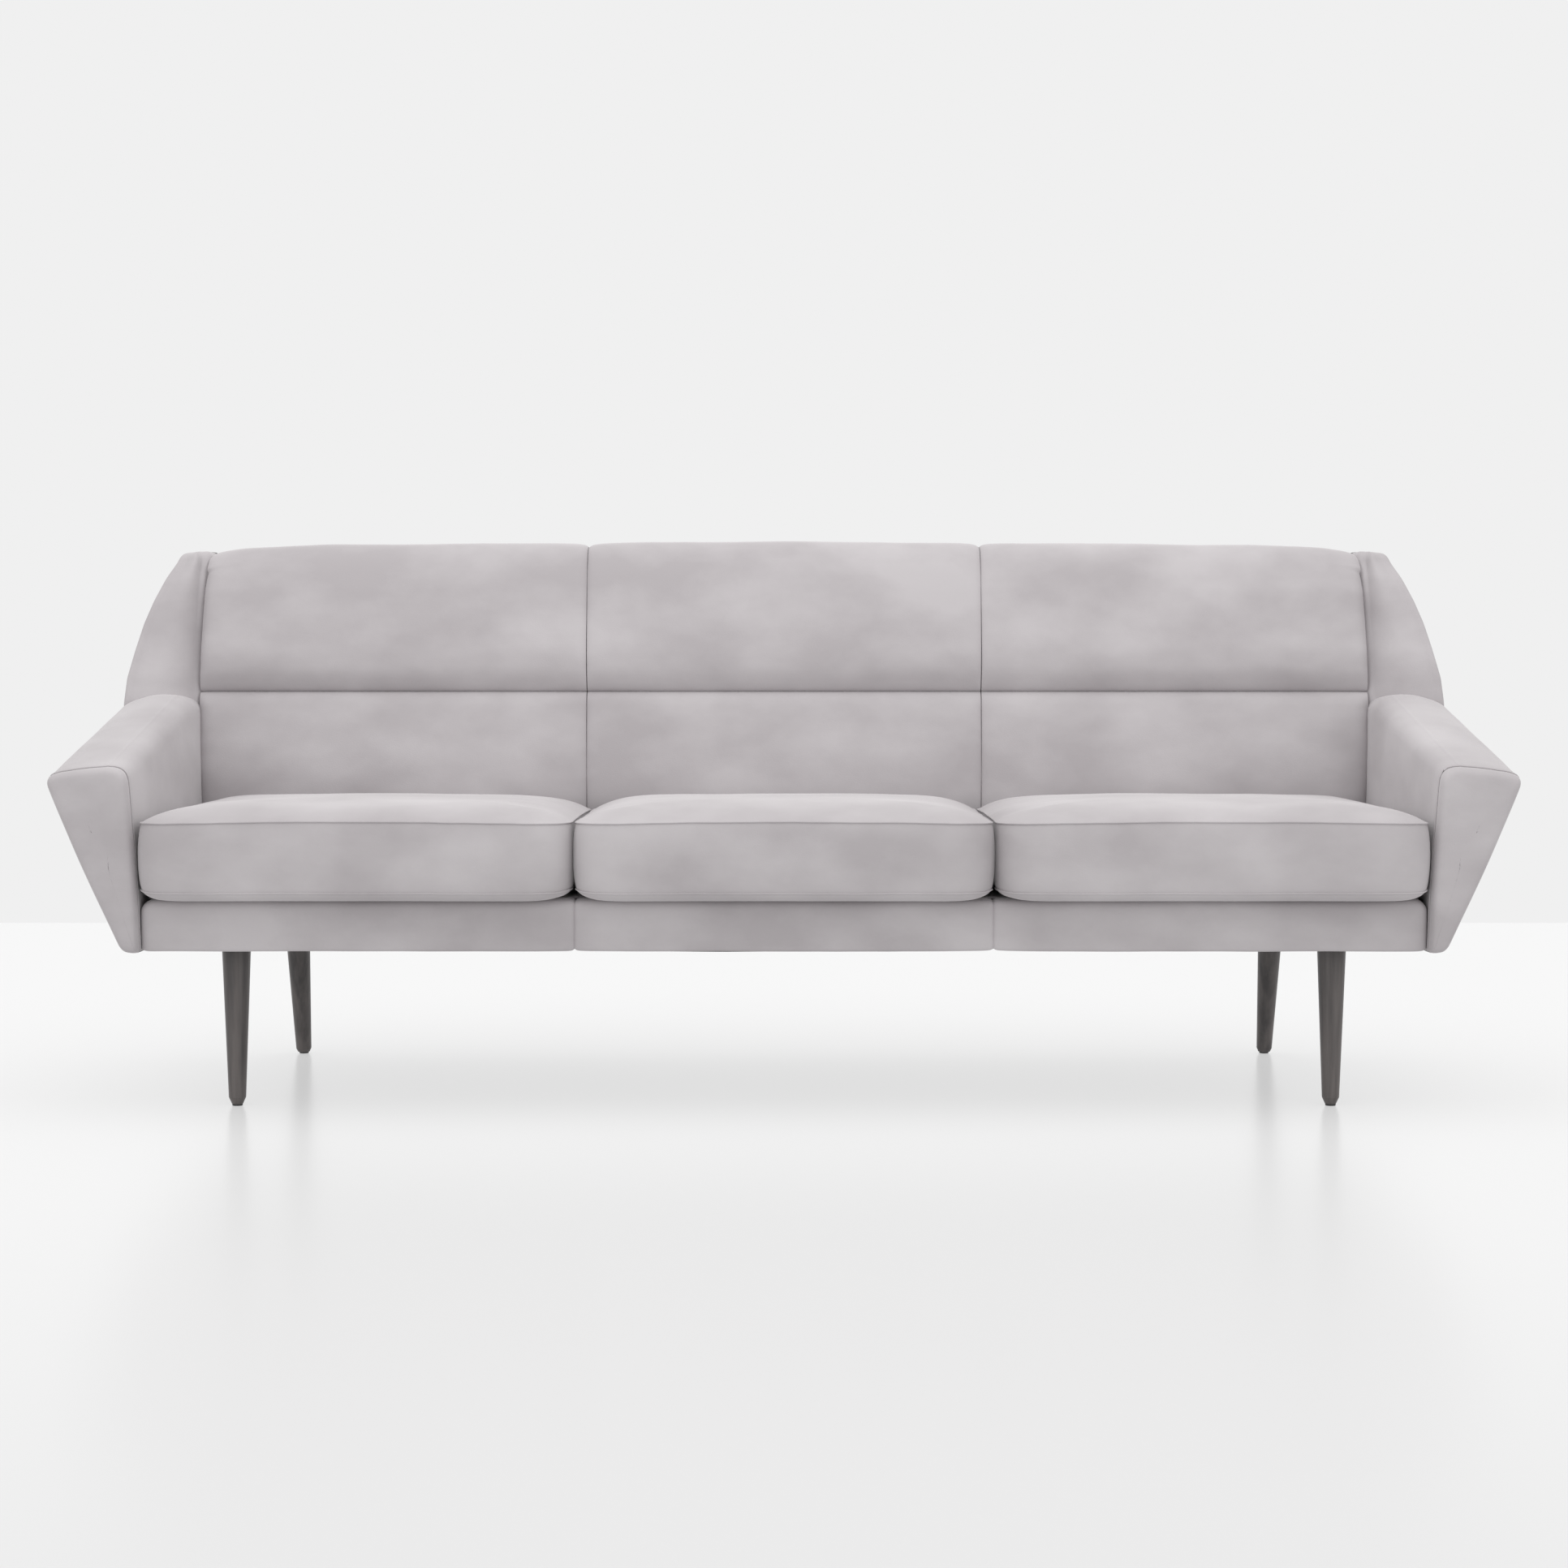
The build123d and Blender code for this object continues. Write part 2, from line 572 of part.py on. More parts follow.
def arm_upholstery():
    pad_start = ARM_FRONT_Y + FACING_THICK
    end = WING_INNER_Y + 20.0
    facing_front = [(x, ARM_FRONT_Y, z) for x, _, z in arm_ring(ARM_FRONT_Y)]
    facing = loft_rings([facing_front, arm_ring(pad_start - GAP)])
    save_pair("arm_facing", facing)

    pad = loft_rings([arm_ring(pad_start, 313.0), arm_ring(end, 313.0)])
    pad -= loft_rings([arm_cavity_ring(pad_start - 1), arm_cavity_ring(end + 1)])
    pad -= side_sheet(SIDE_PANEL_THICK + GAP, 40.0, GAP)
    pad -= behind_wing_seam(GAP)
    save_pair("arm_pad", pad)


def side_panel():
    """Outside panel from the arm's front to the rear corner."""
    panel = side_sheet(SIDE_PANEL_THICK, 0.0, 0.0)
    behind = [(rear_y(200) - OUTSIDE_BACK_THICK - GAP, 200), (500, 200), (500, 700),
              (rear_y(700) - OUTSIDE_BACK_THICK - GAP, 700)]
    save_pair("side_outside_panel", panel - prism_x(behind, 900, 1200))


def arm_timber():
    start = ARM_FRONT_Y + FACING_THICK
    base = block(FRAME_HALF_X + GAP, ARM_OUTER_BASE_X - SIDE_PANEL_THICK - 1.5,
                 FRONT_RAIL_Y + RAIL_THICK + GAP, 180.0, RAIL_LOW_Z, 312.0)
    for y, z in arm_bolt_spots():
        base -= rod_x(y, z, FRAME_HALF_X - 1, ARM_OUTER_BASE_X, BOLT_R + 0.2)
        base -= rod_x(y, z, ARM_OUTER_BASE_X - SIDE_PANEL_THICK - 6.0, ARM_OUTER_BASE_X, 9.0)
    save("arm_base_rails", both_sides(base))

    inset = 1.0

    def board_ring(y):
        outer_top = arm_outer_top_z(y) - 22.0
        points = [(arm_inner_x(318) + 14.0 + inset, 320.0),
                  (arm_outer_x(y, 320) - SIDE_PANEL_THICK - 2.5, 320.0),
                  (arm_outer_x(y, outer_top) - SIDE_PANEL_THICK - 3.0, outer_top),
                  (ARM_CROWN_X, arm_crown_z(y) - 22.0),
                  (arm_inner_x(480) + 14.0 + inset, arm_inner_top_z(y) - 22.0)]
        return [(x, y, z) for x, z in points]

    front_board = loft_rings([board_ring(start + GAP), board_ring(start + GAP + BOARD_THICK)])
    save("arm_front_boards", both_sides(front_board))

    def top_board_ring(y):
        high = arm_outer_top_z(y) - 22.0
        points = [(998.0, high), (1062.0, high), (1056.0, high - 18.0), (998.0, high - 18.0)]
        return [(x, y, z) for x, z in points]

    top_board = loft_rings([top_board_ring(start + BOARD_THICK + 2 * GAP), top_board_ring(130.0)])
    save("arm_top_boards", both_sides(top_board))

    bolts = []
    for y, z in arm_bolt_spots():
        head_x = ARM_OUTER_BASE_X - SIDE_PANEL_THICK - 6.0
        bolt = rod_x(y, z, FRAME_HALF_X - RAIL_THICK - 12.0, head_x, BOLT_R)
        bolt += rod_x(y, z, head_x, head_x + 3.5, 8.0)
        nut_x = FRAME_HALF_X - RAIL_THICK
        nut = Pos(nut_x - 3.6, y, z) * Rot(0, 90, 0) * extrude(RegularPolygon(7.5, 6), 3.2, both=True)
        nut -= rod_x(y, z, nut_x - 12, nut_x + 1, BOLT_R + 0.1)
        bolts += both_sides(bolt) + both_sides(nut)
    save("arm_bolts", bolts)

    liner = block(960.0, 979.0, start + 2, 330.0, ARM_BASE_Z - 1.5, ARM_BASE_Z - 0.1)
    save("arm_underliners", both_sides(liner))


# ------------------------------------------------------------------ wings
def wing_back_y(z):
    return rear_y(z) - OUTSIDE_BACK_THICK - GAP


def wing_ring(level, front=0.0, outer=0.0, inner=0.0):
    """Horizontal section of the wing, thinned from the front and from the outer side."""
    z, outer_x, outer_y, inner_y, rear_x = level
    back = wing_back_y(z)
    return [(WING_INNER_X - inner, inner_y + front, z), (outer_x - outer, outer_y + front, z),
            (rear_x - outer, back, z), (WING_INNER_X - inner, back, z)]


def wing_side_ring(level, front, inside, outside):
    """Section of the wing's outer wall, from behind the front pad to the rear corner."""
    z, outer_x, outer_y, _, rear_x = level
    back = wing_back_y(z)
    start_x = between(outer_x, rear_x, front / (back - outer_y))
    return [(start_x - inside, outer_y + front, z), (start_x + outside, outer_y + front, z),
            (rear_x + outside, back, z), (rear_x - inside, back, z)]


def raised(level, z):
    return (z, *level[1:])


def wings():
    front, thick = 28.0, SIDE_PANEL_THICK
    body = loft_rings([wing_ring(level) for level in (*WING_LEVELS, WING_CAP)])
    levels = [*WING_LEVELS[:-1], raised(WING_LEVELS[-1], 838.0)]
    pad = body - loft_rings([wing_ring(level, front, thick - 2.0, 1.0) for level in levels])
    pad -= loft_rings([wing_side_ring(level, front - GAP, thick + GAP, 60.0) for level in levels])
    side_levels = [*WING_LEVELS[:-1], raised(WING_LEVELS[-1], 838.0 - GAP)]
    side = loft_rings([wing_side_ring(level, front, thick, 0.0) for level in side_levels])
    save_pair("wing_pad", pad)
    save_pair("wing_outside_panel", side)

    x0 = WING_INNER_X + 1.5
    board_levels = [level for level in WING_LEVELS if level[0] < 820]
    edge = [(WING_INNER_Y + 46.0, 345.0)] + [(inner_y + front + 4.0, z) for z, _, _, inner_y, _ in board_levels]
    rear = [(rear_y(z) - OUTSIDE_BACK_THICK - 2.0, z) for z in (818.0, 345.0)]
    board = prism_x(edge + rear, x0, x0 + BOARD_THICK)
    save("wing_boards", both_sides(board))


# ------------------------------------------------------------------ seat cushions and their zips
def cushion_block(x0, x1, inset):
    """Crowned boxed cushion between x0 and x1, shrunk on all sides by inset."""
    front, rear = -392.0 + inset, CUSHION_REAR_Y - inset
    low = DECK_TOP_Z + 0.5 + inset
    drop = inset

    def at(y, z):
        return (x0 + inset, y, z)

    edges = [
        Line(at(120, low), at(-374, low)),
        ThreePointArc(at(-374, low), at(front + 5, low + 5), at(front, low + 16)),
        ThreePointArc(at(front, low + 16), at(front - 6, 386), at(front + 1, 432 - drop)),
        ThreePointArc(at(front + 1, 432 - drop), at(front + 6, 441 - drop), at(-374, 446 - drop)),
        ThreePointArc(at(-374, 446 - drop), at(-130, 468 - drop), at(112, 446 - drop)),
        ThreePointArc(at(112, 446 - drop), at(rear - 5, 441 - drop), at(rear, 428 - drop)),
        Line(at(rear, 428 - drop), at(rear, low + 14)),
        ThreePointArc(at(rear, low + 14), at(rear - 4, low + 4), at(120, low)),
    ]
    bar = profile_solid(edges, x0 + inset, x1 - inset)
    plan = Pos((x0 + x1) / 2, (front - 6 + rear) / 2, 400) * Box(
        x1 - x0 - 2 * inset, rear - front + 6, 200)
    plan = fillet(plan.edges().filter_by(Axis.Z).group_by(Axis.Y)[0], 38.0 - inset)
    plan = fillet(plan.edges().filter_by(Axis.Z).group_by(Axis.Y)[-1], 22.0 - inset)
    return bar & plan


def zip_slider(x):
    """Zip slider and its hanging pull, on the closed end of the zip."""
    y = CUSHION_REAR_Y + ZIP_THICK + GAP
    body = block(x - SLIDER_LENGTH / 2, x + SLIDER_LENGTH / 2, y, y + 2.4, ZIP_Z - 4.5, ZIP_Z + 4.5)
    body = chamfer(body.edges().filter_by(Axis.Y), 1.5)
    bridge = block(x - 1.5, x + 1.5, y + 2.4, y + 3.4, ZIP_Z - 3.0, ZIP_Z + 3.0)
    pull = block(x - 3.0, x + 3.0, y + 3.4, y + 4.4, ZIP_Z - 24.0, ZIP_Z + 3.0)
    pull = fillet(pull.edges().filter_by(Axis.Y), 1.4)
    return body + bridge + pull


def seat_cushions():
    places = {"left": (-CUSHION_SIDE_X, -CUSHION_SPLIT_X - GAP / 2),
              "middle": (-CUSHION_SPLIT_X + GAP / 2, CUSHION_SPLIT_X - GAP / 2),
              "right": (CUSHION_SPLIT_X + GAP / 2, CUSHION_SIDE_X)}
    for name, (x0, x1) in places.items():
        centre = (x0 + x1) / 2
        slot = block(centre - ZIP_HALF + 6, centre + ZIP_HALF - 6, CUSHION_REAR_Y - 8, CUSHION_REAR_Y + 1,
                     ZIP_Z - 1.5, ZIP_Z + 1.5)
        cover = cushion_block(x0, x1, 0.0) - cushion_block(x0, x1, COVER_THICK) - slot
        save(f"cushion_cover_{name}", cover)
        save(f"cushion_core_{name}", cushion_block(x0, x1, COVER_THICK + 0.5))
        coil = block(centre - ZIP_HALF, centre + ZIP_HALF, CUSHION_REAR_Y, CUSHION_REAR_Y + ZIP_THICK,
                     ZIP_Z - ZIP_HEIGHT / 2, ZIP_Z + ZIP_HEIGHT / 2)
        save(f"cushion_zip_{name}", coil)
        save(f"zip_slider_{name}", zip_slider(centre + ZIP_HALF - 10.0))


seat_frame()
legs()
suspension()
back_frame()
back_upholstery()
front_borders()
arm_upholstery()
side_panel()
arm_timber()
wings()
seat_cushions()
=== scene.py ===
import json
import math

import bmesh
import bpy
import numpy as np
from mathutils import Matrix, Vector, noise


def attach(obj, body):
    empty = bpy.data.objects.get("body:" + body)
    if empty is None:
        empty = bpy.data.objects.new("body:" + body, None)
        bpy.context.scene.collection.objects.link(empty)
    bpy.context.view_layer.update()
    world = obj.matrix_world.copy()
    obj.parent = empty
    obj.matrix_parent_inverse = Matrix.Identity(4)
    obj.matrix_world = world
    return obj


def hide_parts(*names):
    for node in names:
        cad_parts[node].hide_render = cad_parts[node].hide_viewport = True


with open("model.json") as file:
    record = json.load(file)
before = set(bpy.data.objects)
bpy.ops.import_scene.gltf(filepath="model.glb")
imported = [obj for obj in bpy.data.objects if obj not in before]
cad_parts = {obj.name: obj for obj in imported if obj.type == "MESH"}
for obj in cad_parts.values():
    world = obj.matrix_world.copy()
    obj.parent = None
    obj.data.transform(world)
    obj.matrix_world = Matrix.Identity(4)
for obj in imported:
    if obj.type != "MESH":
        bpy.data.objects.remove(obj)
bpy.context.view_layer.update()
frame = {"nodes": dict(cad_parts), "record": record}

# ------------------------------------------------------------------ dimensions, in millimetres
MM = 0.001
ARM_FRONT_Y = -365.0
FACING_END_Y = -342.0
WING_SEAM_Y = 140.0
BASE_Z = 243.0
ARM_INNER_X = 957.0             # inner face of the arm, at its foot
ARM_REAR_Y = 388.0
WING_INNER_X = 972.0
WING_FOOT_Z = 585.0
WING_TOP_Z = 848.0
REAR_FOOT_Y = 340.0             # outside back, at its foot
REAR_FOOT_Z = 245.0
BACK_HEIGHT = 637.0
BACK_RAKE = 54.0                # how far the outside back leans over its height
PANEL_SEAM_X = 325.0            # vertical seams of the back, at the seat
PANEL_SEAM_SPREAD = 8.0         # how far they move apart towards the top
BORDER_SEAM_X = 312.0           # vertical seams of the front border
BORDER_HALF_X = 957.5
CUSHION_FRONT_Y = -396.0
CUSHION_REAR_Y = 133.6
CUSHION_LOW_Z = 323.0
CUSHION_LOW_SEAM_Z = 335.0
CUSHION_TOP_SEAM_Z = 434.5
CUSHION_CROWN = 26.5
LEG_SPOTS = ((831.5, -255.0), (831.5, 291.5))
LEG_HOLE_RIM = 25.5             # radius that mesh points near a leg are moved out to
LEG_HOLE_REACH = 34.0
LEG_HOLE_OPEN = 20.0            # faces centred nearer than this are left out
SIDES = ((-1, "left"), (1, "right"))


# ------------------------------------------------------------------ mesh helpers
def soft_noise(p, scale, seed=0.0):
    """Smooth noise between about -1 and 1, for a point in millimetres."""
    return noise.noise(Vector((p[0] / scale + seed, p[1] / scale - seed, p[2] / scale + 2 * seed)))


def curve_through(points, count):
    """Smooth open curve through control points, evenly sampled along its length."""
    p = np.array(points, float)
    p = np.vstack([2 * p[0] - p[1], p, 2 * p[-1] - p[-2]])
    out = []
    for i in range(1, len(p) - 2):
        for t in np.linspace(0, 1, 24, endpoint=False):
            a, b, c, d = p[i - 1], p[i], p[i + 1], p[i + 2]
            out.append(0.5 * ((2 * b) + (c - a) * t + (2 * a - 5 * b + 4 * c - d) * t * t
                              + (3 * b - a - 3 * c + d) * t ** 3))
    out = np.array(out + [p[-2]])
    length = np.concatenate([[0], np.cumsum(np.linalg.norm(np.diff(out, axis=0), axis=1))])
    at = np.linspace(0, length[-1], count)
    return np.stack([np.interp(at, length, out[:, k]) for k in range(out.shape[1])], axis=1)


def section(points, radii, bulges, steps=6, fill=14):
    """Closed outline, counter-clockwise, with rounded corners and gently bowed sides."""
    p = np.array(points, float)
    n = len(p)
    starts, ends = [], []
    for i in range(n):
        a, b = p[i - 1] - p[i], p[(i + 1) % n] - p[i]
        la, lb = np.linalg.norm(a), np.linalg.norm(b)
        starts.append(p[i] + a / la * min(radii[i], 0.45 * la))
        ends.append(p[i] + b / lb * min(radii[i], 0.45 * lb))
    out = []
    for i in range(n):
        for t in np.linspace(0, 1, steps + 1):
            out.append((1 - t) ** 2 * starts[i] + 2 * t * (1 - t) * p[i] + t * t * ends[i])
        here, there = ends[i], starts[(i + 1) % n]
        along = there - here
        normal = np.array([along[1], -along[0]]) / max(np.linalg.norm(along), 1e-6)
        for t in np.linspace(0, 1, fill + 2)[1:-1]:
            out.append(here + along * t + normal * bulges[i] * math.sin(math.pi * t))
    return np.array(out)


def inset(outline, distance):
    """Closed outline moved inwards along its own normals."""
    ahead, behind = np.roll(outline, -1, axis=0), np.roll(outline, 1, axis=0)
    along = ahead - behind
    normal = np.stack([along[:, 1], -along[:, 0]], axis=1)
    normal /= np.maximum(np.linalg.norm(normal, axis=1, keepdims=True), 1e-9)
    return outline - normal * distance


def outward(curve):
    """Unit normals on the left of an open curve's direction."""
    along = np.gradient(curve, axis=0)
    normal = np.stack([-along[:, 1], along[:, 0]], axis=1)
    return normal / np.linalg.norm(normal, axis=1, keepdims=True)


def towards_middle(ring, share):
    """Closed ring drawn in towards its own middle by a share of the way."""
    ring = np.array(ring, float)
    return ring * (1 - share) + ring.mean(axis=0) * share


def make_object(name, verts, faces, body, slot, smooth=1):
    """Mesh object from points in millimetres, riding a body and wearing a material slot."""
    mesh = bpy.data.meshes.new(name)
    mesh.from_pydata([tuple(float(c) * MM for c in v) for v in verts], [], faces)
    mesh.validate()
    mesh.update()
    obj = bpy.data.objects.new(name, mesh)
    bpy.context.scene.collection.objects.link(obj)
    fix_normals(mesh)
    for poly in mesh.polygons:
        poly.use_smooth = True
    if smooth:
        mod = obj.modifiers.new("soften", "SUBSURF")
        mod.levels = mod.render_levels = smooth
    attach(obj, body)
    obj.data.materials.append(MATERIALS[slot])
    return obj


def fix_normals(mesh):
    """Turns every face outwards."""
    bm = bmesh.new()
    bm.from_mesh(mesh)
    bmesh.ops.recalc_face_normals(bm, faces=bm.faces)
    bm.to_mesh(mesh)
    bm.free()


def strip_cap(first, count):
    """Closes a ring with a strip of faces between its two halves."""
    half = count // 2
    faces = [(first + i, first + i + 1, first + count - 2 - i, first + count - 1 - i)
             for i in range(half - 1)]
    if count % 2:
        faces.append((first + half - 1, first + half, first + half + 1))
    return faces


def loft(name, rings, body="sofa_frame", slot="velvet", smooth=1):
    """Closed solid through closed rings of 3-D points with the same count."""
    rings = [np.array(r, float) for r in rings]
    count = len(rings[0])
    verts = np.vstack(rings)
    faces = []
    for r in range(len(rings) - 1):
        for c in range(count):
            d = (c + 1) % count
            faces.append((r * count + c, r * count + d, (r + 1) * count + d, (r + 1) * count + c))
    faces += strip_cap(0, count) + strip_cap((len(rings) - 1) * count, count)
    return make_object(name, verts, faces, body, slot, smooth)


def seam_line(name, points, radius=1.1, body="sofa_frame", closed=False, sides=6):
    """Thin ridge of a sewn seam through points in millimetres."""
    p = np.array(points, float)
    along = np.roll(p, -1, axis=0) - np.roll(p, 1, axis=0) if closed else np.gradient(p, axis=0)
    along /= np.maximum(np.linalg.norm(along, axis=1, keepdims=True), 1e-9)
    helper = np.where(np.abs(along[:, 2:3]) > 0.8, [[1.0, 0.0, 0.0]], [[0.0, 0.0, 1.0]])
    across = np.cross(along, helper)
    across /= np.linalg.norm(across, axis=1, keepdims=True)
    up = np.cross(across, along)
    verts, faces = [], []
    for k in range(len(p)):
        for turn in np.linspace(0, 2 * math.pi, sides, endpoint=False):
            verts.append(p[k] + radius * (across[k] * math.cos(turn) + up[k] * math.sin(turn)))
    for k in range(len(p) if closed else len(p) - 1):
        a, b = k * sides, (k + 1) % len(p) * sides
        faces += [(a + c, a + (c + 1) % sides, b + (c + 1) % sides, b + c) for c in range(sides)]
    if not closed:
        faces += [tuple(range(sides)), tuple(len(verts) - 1 - c for c in range(sides))]
    return make_object(name, verts, faces, body, "velvet", 0)


# ------------------------------------------------------------------ materials
def new_material(name):
    mat = bpy.data.materials.new(name)
    mat.use_nodes = True
    tree = mat.node_tree
    return mat, tree, tree.nodes["Principled BSDF"]


def noise_colour(tree, bsdf, low, high, scale, detail, stretch=(1, 1, 1), spread=(0.35, 0.65)):
    """Base colour that drifts between two tones."""
    coord = tree.nodes.new("ShaderNodeTexCoord")
    mapping = tree.nodes.new("ShaderNodeMapping")
    mapping.inputs["Scale"].default_value = stretch
    tex = tree.nodes.new("ShaderNodeTexNoise")
    tex.inputs["Scale"].default_value = scale
    tex.inputs["Detail"].default_value = detail
    ramp = tree.nodes.new("ShaderNodeValToRGB")
    ramp.color_ramp.elements[0].position, ramp.color_ramp.elements[1].position = spread
    ramp.color_ramp.elements[0].color = (*low, 1)
    ramp.color_ramp.elements[1].color = (*high, 1)
    tree.links.new(coord.outputs["Object"], mapping.inputs["Vector"])
    tree.links.new(mapping.outputs["Vector"], tex.inputs["Vector"])
    tree.links.new(tex.outputs["Fac"], ramp.inputs["Fac"])
    tree.links.new(ramp.outputs["Color"], bsdf.inputs["Base Color"])
    return mapping


def fine_bump(tree, bsdf, mapping, scale, strength, distance):
    """Fine surface texture."""
    tex = tree.nodes.new("ShaderNodeTexNoise")
    tex.inputs["Scale"].default_value = scale
    tex.inputs["Detail"].default_value = 3.0
    bump = tree.nodes.new("ShaderNodeBump")
    bump.inputs["Strength"].default_value = strength
    bump.inputs["Distance"].default_value = distance
    tree.links.new(mapping.outputs["Vector"], tex.inputs["Vector"])
    tree.links.new(tex.outputs["Fac"], bump.inputs["Height"])
    tree.links.new(bump.outputs["Normal"], bsdf.inputs["Normal"])


def velvet():
    """Short-pile grey fabric."""
    mat, tree, bsdf = new_material("velvet")
    dark, light = (0.40, 0.375, 0.385), (0.49, 0.465, 0.475)
    mapping = noise_colour(tree, bsdf, dark, light, 5.5, 6.0, (1, 1, 1.6))
    bsdf.inputs["Roughness"].default_value = 0.85
    bsdf.inputs["Specular IOR Level"].default_value = 0.25
    bsdf.inputs["Sheen Weight"].default_value = 0.55
    bsdf.inputs["Sheen Roughness"].default_value = 0.35
    bsdf.inputs["Sheen Tint"].default_value = (1.0, 0.98, 0.98, 1)
    fine_bump(tree, bsdf, mapping, 420.0, 0.35, 0.0006)
    return mat


def plain_noise(name, low, high, scale, rough, stretch=(1, 1, 1), metal=0.0, bump=0.15,
                bump_scale=200.0):
    """Material with a drifting tone and a fine bump."""
    mat, tree, bsdf = new_material(name)
    mapping = noise_colour(tree, bsdf, low, high, scale, 5.0, stretch)
    bsdf.inputs["Roughness"].default_value = rough
    bsdf.inputs["Metallic"].default_value = metal
    fine_bump(tree, bsdf, mapping, bump_scale, bump, 0.0004)
    return mat


MATERIALS = {
    "velvet": velvet(),
    "black_fabric": plain_noise("black_fabric", (0.008, 0.008, 0.008), (0.02, 0.02, 0.02), 60, 0.9),
    "foam": plain_noise("foam", (0.70, 0.66, 0.54), (0.80, 0.76, 0.64), 30, 0.9),
    "webbing": plain_noise("webbing", (0.10, 0.09, 0.08), (0.17, 0.15, 0.13), 80, 0.85),
    "leg_wood": plain_noise("leg_wood", (0.045, 0.040, 0.040), (0.105, 0.092, 0.088), 22, 0.38,
                            (3, 3, 0.22), bump=0.12, bump_scale=90),
    "frame_wood": plain_noise("frame_wood", (0.42, 0.29, 0.17), (0.58, 0.43, 0.27), 12, 0.6, (1, 1, 6)),
    "steel": plain_noise("steel", (0.45, 0.45, 0.46), (0.62, 0.62, 0.63), 60, 0.35, metal=1.0),
    "black_plastic": plain_noise("black_plastic", (0.012, 0.012, 0.012), (0.025, 0.025, 0.025),
                                 90, 0.45),
    "zip_tape": plain_noise("zip_tape", (0.28, 0.27, 0.27), (0.36, 0.35, 0.35), 150, 0.8),
    "zip_metal": plain_noise("zip_metal", (0.40, 0.40, 0.40), (0.55, 0.55, 0.55), 90, 0.3,
                             metal=1.0),
}
for part in frame["record"]["subparts"]:
    node = frame["nodes"][part["node"]]
    node.data.materials.clear()
    node.data.materials.append(MATERIALS[part["material_slot"]])


# ------------------------------------------------------------------ shared surfaces
def rear_y(z):
    """Depth of the outside back at a height."""
    return REAR_FOOT_Y + (z - REAR_FOOT_Z) / BACK_HEIGHT * BACK_RAKE


def arm_share(y):
    """How far along the sloping part of the arm, from 0 to 1."""
    return min((y - ARM_FRONT_Y) / (WING_SEAM_Y - ARM_FRONT_Y), 1.0)


def arm_outline(y):
    """Section of the arm in (x, z), counter-clockwise seen from the front."""
    share = arm_share(y)
    back = max(0.0, (y - WING_SEAM_Y) / (ARM_REAR_Y - WING_SEAM_Y))
    outer_z, crown_z, inner_z = 503 + 101 * share, 511 + 113 * share, 514 + 98 * share
    outer_x = 1097.5 - 25.0 * back
    points = [(ARM_INNER_X, BASE_Z - 1), (983.0 - 3 * back, BASE_Z - 1), (outer_x, outer_z - 1),
              (1035.0, crown_z + 2), (974.0, inner_z + 2)]
    return section(points, (6, 16, 20, 60, 26), (0.5, 2.5, 0.5, 0.5, 2.0), fill=16)


# ------------------------------------------------------------------ arms
def arm_ring(side, y, shrink=0.0):
    """Ring of the arm's cover at a depth, leaning with the outside back at the rear."""
    ring = inset(arm_outline(y), shrink)
    lean = max(0.0, (y - WING_SEAM_Y) / (REAR_FOOT_Y - WING_SEAM_Y))
    out = []
    for x, z in ring:
        yy = y + lean * (rear_y(z) - REAR_FOOT_Y)
        puff = 0.8 * soft_noise((x, yy, z), 70.0, 3.1)
        out.append((side * (x + puff), yy, z))
    return out


def build_arm(side, name):
    """Cover, front facing and facing seam of one arm."""
    ys = [FACING_END_Y + 0.2, FACING_END_Y + 1.5, FACING_END_Y + 4]
    ys += list(np.linspace(FACING_END_Y + 12, WING_SEAM_Y, 34))
    ys += list(np.linspace(WING_SEAM_Y + 12, 336.0, 14)) + [339.0]
    shrinks = [4.5, 1.6, 0.3] + [0.0] * (len(ys) - 4) + [1.5]
    body = loft(f"arm_cover_{name}", [arm_ring(side, y, s) for y, s in zip(ys, shrinks)])
    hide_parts(f"arm_pad_{name}", f"side_outside_panel_{name}")

    steps = [(-342.3, 4.5, 0), (-343.4, 1.8, 0), (-346, 0.2, 0), (-352, -0.3, 0), (-358, 0.8, 0),
             (-362, 3.0, 0), (-364.6, 5.5, 0), (-366.0, 6.0, 0.08), (-367.0, 6.0, 0.2),
             (-367.8, 6.0, 0.45), (-368.0, 6.0, 0.8)]
    rings = []
    for y, shrink, share in steps:
        ring = [(x, y, z) for x, _, z in arm_ring(side, max(y, ARM_FRONT_Y), shrink)]
        rings.append(towards_middle(ring, share))
    face = loft(f"arm_front_{name}", rings)
    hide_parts(f"arm_facing_{name}")
    edge = arm_ring(side, -343.0, 0.3)
    seam_line(f"arm_front_seam_{name}", edge, 1.3, closed=True)


for side, name in SIDES:
    build_arm(side, name)


# ------------------------------------------------------------------ wings
WING = np.array([
    # z, outer x, outer y, inner y, rear corner x
    (585, 1089, 141, 186, 1067),
    (606, 1090, 142, 188, 1068),
    (650, 1087, 155, 201, 1064),
    (697, 1077.5, 176, 215, 1056),
    (741, 1068, 200, 228, 1047),
    (779, 1056, 221, 240, 1036),
    (818, 1040.5, 247, 256, 1022),
    (848, 1025, 271, 276, 1008),
], float)


def wing_row(z):
    """Outer x, outer y, inner y and rear corner x of the wing at a height."""
    return [np.interp(z, WING[:, 0], WING[:, k]) for k in range(1, 5)]


